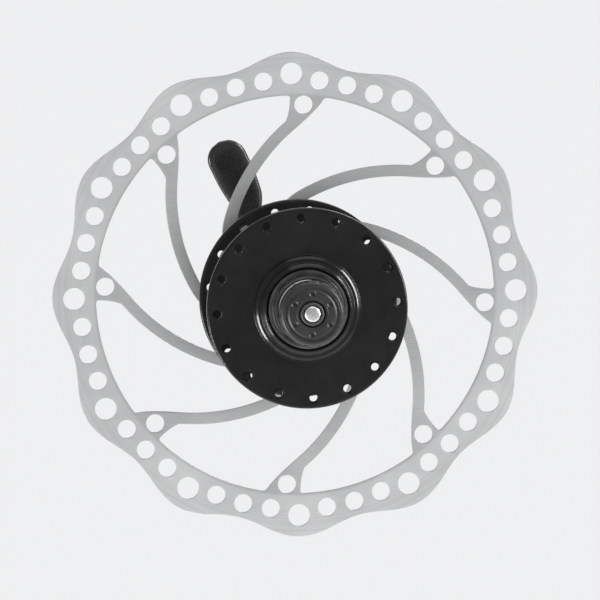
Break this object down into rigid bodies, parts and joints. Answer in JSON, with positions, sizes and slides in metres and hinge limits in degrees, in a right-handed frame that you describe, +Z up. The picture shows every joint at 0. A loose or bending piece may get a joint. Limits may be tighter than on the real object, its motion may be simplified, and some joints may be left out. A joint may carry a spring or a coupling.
{
  "type": "bicycle disc brake hub",
  "caption": "Front bicycle hub with large spoke flanges, a six-bolt disc brake rotor, cup-and-cone ball bearings and a quick-release skewer.",
  "frame": {"origin": "middle of the axle, halfway between the two locknut faces", "axes": "+Y along the axle towards the brake rotor and the lever (the bicycle's left), +X forward, +Z up"},
  "size_m": [0.16, 0.141, 0.16],
  "materials": {
    "shell_black": "black anodised, satin",
    "rotor_stainless": "stainless steel, laser cut and ground",
    "axle_steel": "zinc plated steel, rolled thread",
    "bearing_steel": "hardened and ground steel",
    "ball_steel": "polished bearing steel",
    "spring_steel": "stainless spring wire",
    "grip_steel": "blackened steel with radial teeth",
    "black_steel": "black oxide",
    "quick_release_black": "black anodised",
    "lever_black": "black painted forging",
    "rubber": "black seal rubber",
    "nylon": "black nylon"
  },
  "bodies": {
    "axle_set": {"axle": "axle_steel", "cone_right": "bearing_steel", "washer_right": "axle_steel", "locknut_right": "black_steel", "cone_left": "bearing_steel", "washer_left": "axle_steel", "locknut_left": "black_steel"},
    "hub": {"hub_shell": "shell_black", "brake_rotor": "rotor_stainless", "rotor_bolt_1": "black_steel", "rotor_bolt_2": "black_steel", "rotor_bolt_3": "black_steel", "rotor_bolt_4": "black_steel", "rotor_bolt_5": "black_steel", "rotor_bolt_6": "black_steel", "bearing_cup_right": "bearing_steel", "dust_cap_right": "black_steel", "dust_seal_right": "rubber", "bearing_cup_left": "bearing_steel", "dust_cap_left": "black_steel", "dust_seal_left": "rubber"},
    "balls_right": {"ball_cage_right": "bearing_steel", "ball_right_01": "ball_steel", "ball_right_02": "ball_steel", "ball_right_03": "ball_steel", "ball_right_04": "ball_steel", "ball_right_05": "ball_steel", "ball_right_06": "ball_steel", "ball_right_07": "ball_steel", "ball_right_08": "ball_steel", "ball_right_09": "ball_steel", "ball_right_10": "ball_steel"},
    "balls_left": {"ball_cage_left": "bearing_steel", "ball_left_01": "ball_steel", "ball_left_02": "ball_steel", "ball_left_03": "ball_steel", "ball_left_04": "ball_steel", "ball_left_05": "ball_steel", "ball_left_06": "ball_steel", "ball_left_07": "ball_steel", "ball_left_08": "ball_steel", "ball_left_09": "ball_steel", "ball_left_10": "ball_steel"},
    "skewer": {"lever_housing": "quick_release_black", "housing_grip_ring": "grip_steel", "lever_washer": "nylon", "spring_left": "spring_steel"},
    "lever": {"cam_lever": "lever_black", "cam_nut": "black_steel"},
    "rod": {"skewer_rod": "axle_steel"},
    "nut_carriage": {"spring_right": "spring_steel"},
    "nut": {"skewer_nut": "quick_release_black", "nut_grip_ring": "grip_steel", "nut_lock_ring": "nylon"}
  },
  "joints": [
    {"name": "shell_spin", "type": "hinge", "parent": "axle_set", "child": "hub", "pos_m": [0, 0, 0], "axis": [0, 1, 0], "continuous": true},
    {"name": "balls_right_orbit", "type": "hinge", "parent": "axle_set", "child": "balls_right", "pos_m": [0, 0, 0], "axis": [0, 1, 0], "continuous": true},
    {"name": "balls_left_orbit", "type": "hinge", "parent": "axle_set", "child": "balls_left", "pos_m": [0, 0, 0], "axis": [0, 1, 0], "continuous": true},
    {"name": "skewer_turn", "type": "hinge", "parent": "axle_set", "child": "skewer", "pos_m": [0, 0, 0], "axis": [0, 1, 0], "continuous": true},
    {"name": "lever_flip", "type": "hinge", "parent": "skewer", "child": "lever", "pos_m": [0, 0.065, 0], "axis": [-0.8988, 0, -0.4384], "range_deg": [0, 180]},
    {"name": "rod_shift", "type": "slide", "parent": "skewer", "child": "rod", "axis": [0, 1, 0], "range_m": [-0.0014, 0]},
    {"name": "nut_travel", "type": "slide", "parent": "rod", "child": "nut_carriage", "axis": [0, -1, 0], "range_m": [0, 0.0048], "deforming": ["spring_right"]},
    {"name": "nut_turn", "type": "hinge", "parent": "nut_carriage", "child": "nut", "pos_m": [0, 0, 0], "axis": [0, -1, 0], "range_deg": [0, 2160]}
  ],
  "couplings": [
    {"joint": "balls_right_orbit", "follows": "shell_spin", "ratio": 0.5935},
    {"joint": "balls_left_orbit", "follows": "shell_spin", "ratio": 0.5935},
    {"joint": "rod_shift", "follows": "lever_flip", "m_per_rad": -0.00044563},
    {"joint": "nut_travel", "follows": "nut_turn", "m_per_rad": 0.00012732}
  ]
}
